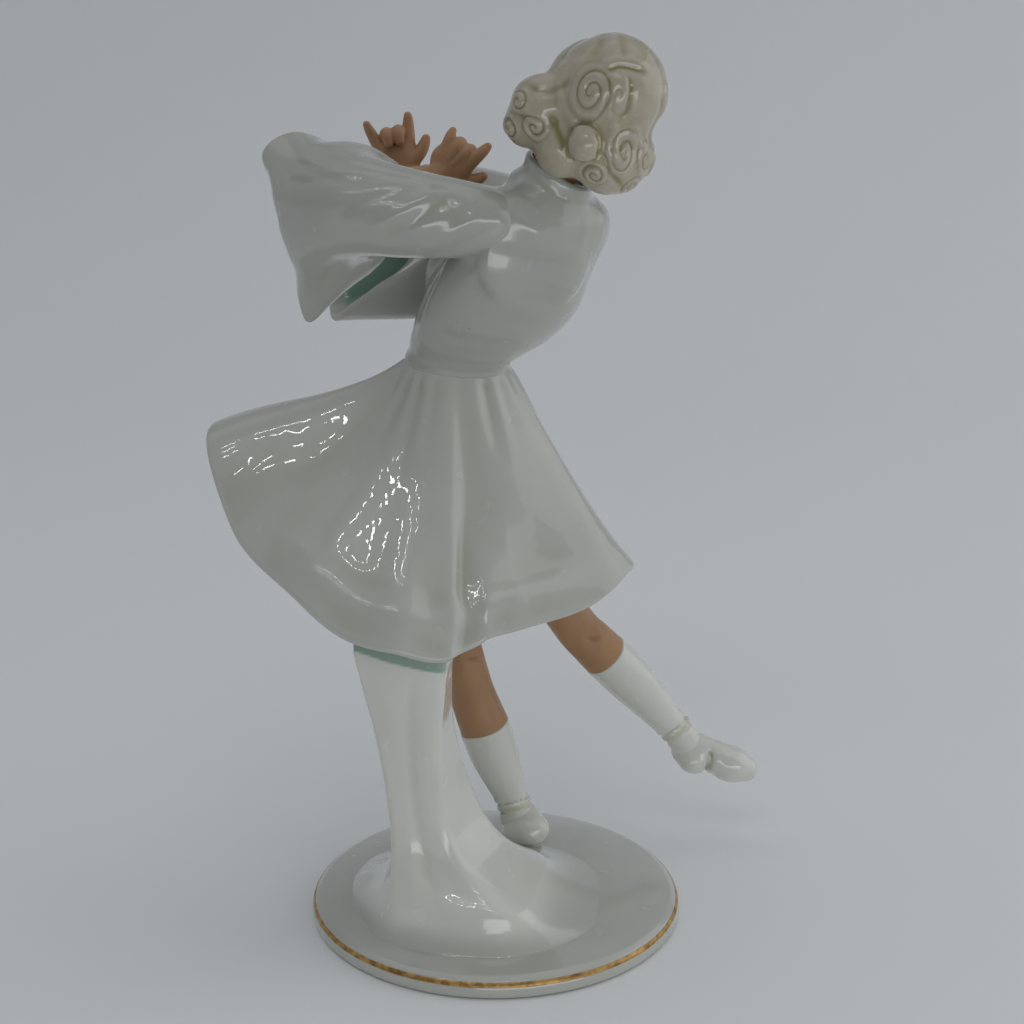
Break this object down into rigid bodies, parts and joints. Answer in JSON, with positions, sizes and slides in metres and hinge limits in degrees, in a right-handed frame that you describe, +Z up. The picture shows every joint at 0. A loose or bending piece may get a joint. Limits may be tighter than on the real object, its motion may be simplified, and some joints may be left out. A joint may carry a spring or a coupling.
{
  "type": "porcelain figurine",
  "caption": "Glazed porcelain dancing girl with a wide flared skirt and bell sleeves, one leg lifted back, on a drapery support and a round base with a gilt line.",
  "frame": {"origin": "under the middle of the round base, on the surface that the figurine stands on", "axes": "+Z up; +X to the side of the lifted foot; +Y away from the drapery support, the girl faces between -X and +Y"},
  "size_m": [0.1475, 0.0978, 0.2287],
  "materials": {
    "white_glaze": "warm white porcelain under a clear, very glossy glaze",
    "mint_glaze": "soft grey-green glaze, glossy",
    "skin_paint": "tan bisque with a low sheen",
    "hair_glaze": "pale straw-blonde glaze over modelled curls",
    "gilding": "thin fired gilding, slightly worn"
  },
  "bodies": {
    "root": {"base": "white_glaze", "gilt_line": "gilding", "skirt": "white_glaze", "skirt_lining": "mint_glaze", "petticoat": "white_glaze", "bodice": "white_glaze", "collar": "white_glaze", "head": "skin_paint", "hair": "hair_glaze", "left_sleeve": "white_glaze", "right_sleeve": "white_glaze", "left_sleeve_lining": "mint_glaze", "right_sleeve_lining": "mint_glaze", "left_hand": "skin_paint", "right_hand": "skin_paint", "left_leg": "skin_paint", "right_leg": "skin_paint", "left_sock": "white_glaze", "right_sock": "white_glaze", "left_shoe": "white_glaze", "right_shoe": "white_glaze", "support_column": "white_glaze"}
  },
  "joints": []
}
